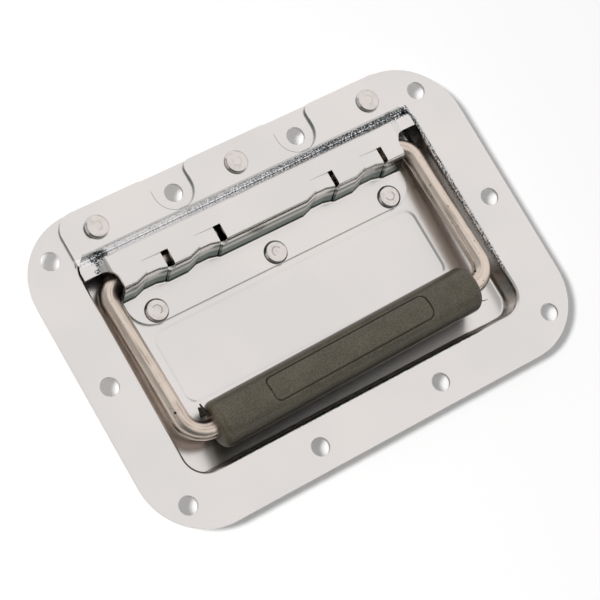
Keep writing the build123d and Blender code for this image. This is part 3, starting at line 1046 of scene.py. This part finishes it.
@dataclass
class Grip:
    """The moulded sleeve: a turned shape with the outline of an inset panel cut into it."""

    diameter: float = 16.6
    length: float = 106.2
    bore: float = 6.7
    bore_rings: int = 12
    edge: float = 2.6
    centre: Triple = (0.0, -26.1, 0.3)
    axis: Triple = (61.8, 1.2, 0.0)
    panel: Span = (65.2, 9.1)
    panel_corner: float = 2.4
    panel_turn: float = 5.0
    line: float = 0.5
    line_depth: float = 0.45
    line_slope: float = 0.12
    near_line: float = 0.9
    fine: float = 0.13
    lower_fade: float = 0.4
    left_fade: float = 0.35

    def stations(self) -> tuple[np.ndarray, np.ndarray]:
        """Places along the axis and radii of the outer skin, closer together at the panel's ends.

        Returns:
            Both in millimetres, from end to end.
        """
        half = self.length / 2
        radius = self.diameter / 2
        turn = np.linspace(0, math.pi / 2, 9)
        end_along = half - self.edge + self.edge * np.cos(turn[::-1])
        end_radius = radius - self.edge + self.edge * np.sin(turn[::-1])
        end = self.panel[0] / 2
        fine = np.arange(end - self.panel_corner - self.near_line, end + self.near_line, self.fine)
        middle = np.linspace(0, fine[0], 14)[:-1]
        outer = np.linspace(fine[-1], half - self.edge, 10)[1:-1]
        along = np.concatenate([middle, fine, outer, end_along])
        radii = np.concatenate([np.full(len(middle) + len(fine) + len(outer), radius), end_radius])
        return np.concatenate([-along[:0:-1], along]), np.concatenate([radii[:0:-1], radii])

    def angles(self) -> np.ndarray:
        """Angles round the axis from the middle of the panel, closer together at its long sides.

        Returns:
            The angles in radians.
        """
        radius = self.diameter / 2
        top = math.asin((self.panel[1] / 2 + self.near_line) / radius)
        low = math.asin((self.panel[1] / 2 - self.panel_corner - self.near_line) / radius)
        fine = np.arange(low, top, self.fine / radius)
        middle = np.linspace(0, fine[0], 5)[:-1]
        rest = np.linspace(fine[-1], math.pi, 32)[1:]
        side = np.concatenate([middle, fine, rest])
        return np.concatenate([side, 2 * math.pi - side[-2:0:-1]])

    def groove(self, along: np.ndarray, across: np.ndarray) -> np.ndarray:
        """Depth of the panel's line.

        Args:
            along: Places along the axis in millimetres.
            across: Places across the panel in millimetres.

        Returns:
            The depths in millimetres.
        """
        x = np.abs(along) - (self.panel[0] / 2 - self.panel_corner)
        y = np.abs(across) - (self.panel[1] / 2 - self.panel_corner)
        outside = np.hypot(np.maximum(x, 0), np.maximum(y, 0))
        off = outside + np.minimum(np.maximum(x, y), 0) - self.panel_corner
        slope = self.line_slope
        wall = np.clip((self.line / 2 + slope / 2 - np.abs(off)) / slope, 0, 1)
        return self.line_depth * wall * wall * (3 - 2 * wall)

    def mesh(self) -> Mesh:
        """Closed sleeve with its bore.

        Returns:
            The mesh, with the painted shade in the panel's line marked.
        """
        along, radii = self.stations()
        angles = self.angles()
        radius = self.diameter / 2
        bore_along = np.linspace(along[-1], along[0], self.bore_rings)
        grid_s, grid_a = np.meshgrid(np.concatenate([along, bore_along]), angles, indexing="ij")
        rings = np.concatenate([radii, np.full(self.bore_rings, self.bore / 2)])
        grid_r = np.repeat(rings[:, None], len(angles), 1)
        upper = (np.cos(grid_a) > 0) & (grid_r > radius - 0.01)
        depth = np.where(upper, self.groove(grid_s, radius * np.sin(grid_a)), 0.0)
        grid_r = grid_r - depth
        axis = Vector(self.axis).normalized()
        top = Matrix.Rotation(math.radians(-self.panel_turn), 3, axis) @ Vector((0, 0, 1))
        side = top.cross(axis)
        points = (
            np.array(self.centre)
            + grid_s[..., None] * np.array(axis)
            + (grid_r * np.cos(grid_a))[..., None] * np.array(top)
            + (grid_r * np.sin(grid_a))[..., None] * np.array(side)
        ).reshape(-1, 3) * MM
        faces = [tuple(i % len(points) for i in face) for face in ring_faces(len(rings) + 1, len(angles))]
        mesh = plain_mesh("grip_sleeve", points, faces=faces)
        # The line's painted shade is fainter on its lower side and at the panel's left end.
        left = grid_s < -self.panel[0] / 2 + 0.8
        faint = 1.0 - self.lower_fade * (np.sin(grid_a) < 0) - self.left_fade * left
        mark_painted_shade(mesh, (depth / self.line_depth * faint).ravel())
        outward(mesh)
        mesh.shade_smooth()
        mesh.set_sharp_from_angle(angle=math.radians(50))
        return mesh

    def build(self) -> Object:
        """Builds the grip and its torn skin and dresses them.

        Returns:
            The grip's object.
        """
        material = MouldedGrip("grip plastic").build()
        GripFlash().build(material)
        return Piece("grip_sleeve", self.mesh(), material).join(Body.BAIL, ("grip",))


@dataclass
class GripFlash:
    """Torn skin of plastic round the bar at the grip's left end, and a hair of it at the right."""

    centre: Triple = (-53.1, -27.15, 0.3)
    inner: float = 5.0
    outer: float = 9.3
    thick: float = 0.5
    span: Span = (0.75, 1.9)
    steps: int = 26
    tear: Span = (9.1, 23.0)
    tear_start: float = 0.7
    least_reach: float = 0.35
    lean: Triple = (1.2, 0.5, 7.0)
    hair: tuple[Triple, ...] = ((53.2, -31.0, 1.6), (54.6, -31.6, 1.2), (56.3, -31.7, 1.3))
    hair_taper: Triple = (1.0, 0.7, 0.15)
    hair_radius: float = 0.24
    hair_sides: int = 6
    # Painted shade: the scraps take most of the near-black of the grip's line.
    dark: float = 0.8

    def lip(self) -> tuple[list[Vector], list[Face]]:
        """Ragged collar, a strip with two skins.

        Returns:
            Its points in metres and its faces.
        """
        points = []
        x, y, z = self.centre
        for step in range(self.steps + 1):
            share = step / self.steps
            turn = self.span[0] + (self.span[1] - self.span[0]) * share
            slow, quick = (pace * share for pace in self.tear)
            ragged = 0.5 + 0.5 * math.sin(slow + self.tear_start) * math.cos(quick)
            height = (self.least_reach + (1.0 - self.least_reach) * ragged) * math.sin(math.pi * share) ** 0.4
            reach = self.inner + (self.outer - self.inner) * height
            lean = self.lean[0] + self.lean[1] * math.sin(self.lean[2] * share)
            upper = [(self.inner, 0.0), (reach, -lean)]
            lower = [(radius, shift - self.thick) for radius, shift in upper[::-1]]
            for radius, shift in upper + lower:
                point = (x + shift, y + radius * math.sin(turn), z + radius * math.cos(turn))
                points.append(Vector(point) * MM)
        rings = self.steps + 1
        return points, ring_faces(rings, 4) + caps(rings, 4)

    def whisker(self, first: int) -> tuple[list[Vector], list[Face]]:
        """Hair of plastic, a thin bent spike.

        Args:
            first: Number of its first point.

        Returns:
            Its points in metres and its faces.
        """
        points = []
        for share, centre in zip(self.hair_taper, self.hair):
            for side in range(self.hair_sides):
                turn = 2 * math.pi * side / self.hair_sides
                across = Vector((0.0, math.cos(turn), math.sin(turn))) * self.hair_radius * share
                points.append((Vector(centre) + across) * MM)
        rings = len(self.hair)
        return points, ring_faces(rings, self.hair_sides, first) + caps(rings, self.hair_sides, first)

    def build(self, material: Material) -> Object:
        """Builds both scraps as one piece.

        Args:
            material: Finish of the grip.

        Returns:
            The object.
        """
        points, faces = self.lip()
        hair_points, hair_faces = self.whisker(len(points))
        mesh = plain_mesh("grip_flash", points + hair_points, faces=faces + hair_faces)
        outward(mesh)
        mark_painted_shade(mesh, [self.dark] * len(mesh.vertices))
        return Piece("grip_flash", mesh, material).join(Body.BAIL)


@dataclass
class RivetRow:
    """A row of three equal rivets, repeated by a Geometry Nodes tree."""

    row: str
    seat: Triple
    pitch: float
    tail: tuple[Span, ...]
    seed: int
    finish: RivetZinc
    head: float = 8.4
    height: float = 1.3
    crown: float = 0.14
    shoulder: float = 0.9
    slope: float = 40.0
    cone: float = 0.42
    edge: float = 0.46
    undercut: float = 0.3
    shank: float = 4.8
    sides: int = 56
    crown_steps: int = 12
    arc_steps: int = 6

    def profile(self) -> list[Span]:
        """Section of a rivet, from the crown of the head to the middle of the tail.

        Returns:
            Radii and levels in millimetres.
        """
        half = self.head / 2
        bevel = math.radians(self.slope)
        sine, cosine = math.sin(bevel), math.cos(bevel)
        top = half - self.edge * (1.0 - sine) - self.cone * cosine - self.shoulder * sine
        shares = [step / self.crown_steps for step in range(self.crown_steps + 1)]
        points = [(top * share, self.height - self.crown * share ** 2) for share in shares]
        level = self.height - self.crown
        for step in range(1, self.arc_steps + 1):
            turn = bevel * step / self.arc_steps
            points.append((top + self.shoulder * math.sin(turn),
                           level - self.shoulder * (1.0 - math.cos(turn))))
        radius, level = points[-1][0] + self.cone * cosine, points[-1][1] - self.cone * sine
        for step in range(self.arc_steps + 1):
            turn = bevel + (math.pi / 2 - bevel) * step / self.arc_steps
            points.append((radius + self.edge * (math.sin(turn) - sine),
                           level - self.edge * (cosine - math.cos(turn))))
        points += [(half - self.undercut, 0.0), (self.shank / 2, 0.0)]
        return points + list(self.tail)

    def turned(self) -> Object:
        """One rivet about its own axis, at the origin.

        Returns:
            The object that the tree repeats.
        """
        crown, *rings = self.profile()
        points = [(0.0, 0.0, crown[1] * MM)]
        for radius, level in rings:
            for side in range(self.sides):
                turn = 2 * math.pi * side / self.sides
                points.append((radius * math.cos(turn) * MM, radius * math.sin(turn) * MM, level * MM))
        faces = [(0, 1 + side, 1 + (side + 1) % self.sides) for side in range(self.sides)]
        faces += ring_faces(len(rings), self.sides, 1) + caps(len(rings), self.sides, 1)[1:]
        name = self.row + "_rivets_turned"
        return placed(name, plain_mesh(name, points, faces=faces))

    def build(self) -> Object:
        """Builds the row and dresses it.

        Returns:
            The object.
        """
        name = self.row + "_rivets"
        material = self.finish.build()
        turned = self.turned()
        maker = Maker(name)
        graph = maker.graph
        model = maker.size("Rivet", turned, "Object")
        seed = maker.size("Seed", self.seed, "Int")
        rivet = graph.out("GeometryNodeObjectInfo", values={"Object": model}, output="Geometry")
        rivet = graph.store(rivet, "head", graph.out("GeometryNodeInputPosition"), "FLOAT_VECTOR")
        turn = graph.out("FunctionNodeRandomValue", {"data_type": "FLOAT"},
                         {"Min": 0.0, "Max": 2 * math.pi, "Seed": seed}, 1)
        rotation = graph.out("FunctionNodeEulerToRotation", values={0: graph.vector(0.0, 0.0, turn)})
        values = {"Points": maker.geometry(), "Instance": rivet, "Rotation": rotation}
        row = graph.out("GeometryNodeInstanceOnPoints", values=values)
        x, y, z = self.seat
        seats = plain_mesh(name + "_seats", [((x + k * self.pitch) * MM, y * MM, z * MM) for k in (-1, 0, 1)])
        mesh = maker.run(seats, row, material)
        bpy.data.objects.remove(turned)
        mesh.set_sharp_from_angle(angle=math.radians(48))
        nodes = tuple(f"{self.row}_rivet_{place}" for place in ("left", "middle", "right"))
        return Piece(name, mesh, material).join(Body.DISH, nodes)


@dataclass
class TorsionSpring:
    """A coil on the bar with a hook into it and a leg along the floor, laid out by a tree."""

    side: str
    hand: int
    wire: float = 1.0
    coil: float = 4.05
    turns: float = 4.5
    pitch: float = 1.1
    leg: float = 9.0
    hook: float = 1.75
    bend: float = 1.0
    axis: Span = (31.2, -3.4)
    points: int = 120
    hook_points: int = 4
    leg_points: int = 9
    wire_sides: int = 10

    def build(self, material: Material) -> Object:
        """Builds the spring where the CAD node has it.

        Args:
            material: Finish of the wire.

        Returns:
            The object.
        """
        node = f"spring_{self.side}"
        name = f"{node}_wire"
        low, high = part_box(node)
        inner = min(abs(low.x), abs(high.x)) / MM
        maker = Maker(name)
        graph = maker.graph
        radius = maker.size("Coil radius", self.coil * MM)
        pitch = maker.size("Coil pitch", self.pitch * MM)
        wire = maker.size("Wire radius", self.wire / 2 * MM)
        leg = maker.size("Leg length", self.leg * MM)
        hook = maker.size("Hook length", (self.hook + self.bend) * MM)
        start = maker.size("Hook place", (inner + self.wire / 2) * MM)
        index = graph.out("GeometryNodeInputIndex")
        hooked = float(self.hook_points)
        coiled = float(self.points - 1 - self.leg_points)
        winding = ((index - hooked) / (coiled - hooked)).most(0.0).least(1.0)
        before = (hooked - index).most(0.0) / hooked
        after = (index - coiled).most(0.0) / float(self.leg_points)
        turn = winding * (2 * math.pi * self.turns)
        x = (start + pitch * winding * self.turns) * float(self.hand)
        y = 0.0 - radius * turn.sine() + leg * after + self.bend * MM * before
        z = radius * turn.cosine() - hook * before
        place = graph.vector(x, y + self.axis[0] * MM, z + self.axis[1] * MM)
        wound = graph.out("GeometryNodeSetPosition", values={"Geometry": maker.geometry(), "Position": place})
        curve = graph.out("GeometryNodeMeshToCurve", values={"Mesh": wound})
        straight = chain(name + "_path", [(0.0, 0.0, 0.0)] * self.points)
        mesh = maker.run(straight, graph.tube(curve, self.wire_sides, wire), material)
        return Piece(name, mesh, material).join(Body.DISH, (node,))


@dataclass
class Studio:
    """Camera, floor, world and lamp of the photograph."""

    eye: Triple = (-283.44, -105.47, 647.02)
    right: Triple = (0.82182, -0.49889, 0.27517)
    down: Triple = (-0.41340, -0.85449, -0.31455)
    forward: Triple = (0.39205, 0.14474, -0.90848)
    lens: float = 127.4
    floor_level: float = -10.02
    floor_half: float = 4.0
    floor_tone: Triple = (0.93, 0.93, 0.93)
    floor_glow: float = 0.15
    bright: Triple = (0.97, 0.962, 0.96)
    dark: Triple = (0.12, 0.135, 0.128)
    box: Triple = (0.50, -0.02, 0.86)
    spread: Span = (0.46, 0.76)
    horizon: Span = (0.14, 0.20)
    ambient: float = 0.42
    panels: tuple[tuple[Triple, float, float, float], ...] = (
        ((0.15, 0.90, 0.40), 0.78, 0.90, 0.95),
        ((-0.80, 0.40, 0.44), 0.80, 0.93, 0.50),
    )
    key: Triple = (-0.68, 0.09, 1.0)
    key_distance: float = 2.4
    key_power: float = 56.0
    key_size: float = 0.36

    def camera(self) -> None:
        """Camera at the photograph's place."""
        data = bpy.data.cameras.new("camera")
        data.lens = self.lens
        data.sensor_width = 36.0
        data.clip_start = 0.01
        camera = placed("camera", data)
        columns = Matrix((self.right, [-d for d in self.down], [-f for f in self.forward])).transposed()
        camera.matrix_world = Matrix.Translation(Vector(self.eye) * MM) @ columns.to_4x4()
        bpy.context.scene.camera = camera

    def floor(self) -> None:
        """White floor that keeps the handle's shadow."""
        half, level = self.floor_half, self.floor_level * MM
        corners = [(-half, -half, level), (half, -half, level), (half, half, level), (-half, half, level)]
        mesh = plain_mesh("floor", corners, faces=[(0, 1, 2, 3)])
        paint = Paint("floor white")
        graph = paint.graph
        matt = graph.out("ShaderNodeBsdfDiffuse", values={"Color": (*self.floor_tone, 1.0)})
        glow = graph.out("ShaderNodeEmission", values={"Color": (*WHITE, 1.0), "Strength": 1.0})
        mixed = graph.out("ShaderNodeMixShader", values={0: graph.seen() * self.floor_glow, 1: matt, 2: glow})
        mesh.materials.append(paint.end(mixed))
        floor = placed("floor", mesh)

    def world(self) -> None:
        """Soft box and two panels in a darker room, which is white low down where it is seen."""
        world = bpy.data.worlds.new("studio")
        bpy.context.scene.world = world
        world.use_nodes = True
        graph = Graph(world.node_tree)
        towards = graph.out("ShaderNodeTexCoord", output="Generated")
        lit: Value | None = None
        for direction, low, high, strength in ((self.box, *self.spread, 1.0), *self.panels):
            facing = graph.measure("DOT_PRODUCT", towards, Vector(direction).normalized())
            light = graph.step(facing, low, high, 0.0, strength)
            lit = light if lit is None else lit.most(light)
        room = graph.blend(lit, self.dark, self.bright)
        seen = graph.seen()
        backdrop = seen * graph.step(graph.axes(towards)[2], *self.horizon, 1.0, 0.0)
        strength = self.ambient + (1.0 - self.ambient) * seen
        values = {"Color": graph.blend(backdrop, room, WHITE), "Strength": strength}
        light = graph.out("ShaderNodeBackground", values=values)
        graph.node("ShaderNodeOutputWorld", values={"Surface": light})

    def lamp(self) -> None:
        """Soft lamp that throws the shadow towards the lower right."""
        data = bpy.data.lights.new("key", "AREA")
        data.shape = "DISK"
        data.size = self.key_size
        data.energy = self.key_power
        lamp = placed("key", data)
        towards = Vector(self.key).normalized()
        turn = towards.to_track_quat("Z", "Y").to_matrix().to_4x4()
        lamp.matrix_world = Matrix.Translation(towards * self.key_distance) @ turn
        lamp.visible_glossy = False

    def build(self) -> None:
        """Sets up the whole studio."""
        bpy.context.scene.view_settings.view_transform = "Standard"
        self.camera()
        self.floor()
        self.world()
        self.lamp()


@dataclass
class Handle:
    """The whole handle in the order in which it is put together."""

    sheets: list[PressedSheet] = field(default_factory=lambda: [
        PressedSheet("dish", "dish_sheet", Slot.DISH, DishZinc("dish zinc")),
        PressedSheet("hinge_plate", "hinge_sheet", Slot.PLATE, PlateZinc("plate zinc"),
                     edge=0.07, crease=20.0),
    ])
    rows: list[RivetRow] = field(default_factory=lambda: [
        RivetRow("flange", (0.0, 49.3, 2.4), 54.9, ((2.4, -1.3), (3.5, -2.4)), seed=3,
                 finish=RivetZinc("flange_rivets zinc")),
        RivetRow("floor", (0.0, 17.2, -7.1), 47.8, ((2.4, -2.4), (3.6, -2.4), (3.6, -2.9)), seed=47,
                 finish=RivetZinc("floor_rivets zinc", mark_shade=0.75, mark_depth=0.5)),
    ])
    springs: list[TorsionSpring] = field(default_factory=lambda: [
        TorsionSpring("left", -1),
        TorsionSpring("right", 1),
    ])

    def build(self) -> None:
        """Builds every sub-assembly."""
        for sheet in self.sheets:
            sheet.build()
        Bail().build()
        Grip().build()
        for row in self.rows:
            row.build()
        steel = SpringSteel("spring wire").build()
        for spring in self.springs:
            spring.build(steel)


def main() -> None:
    """Builds the handle and its studio."""
    logging.basicConfig(level=logging.INFO, format="%(message)s")
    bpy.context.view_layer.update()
    Handle().build()
    Studio().build()


if __name__ == "__main__":
    main()
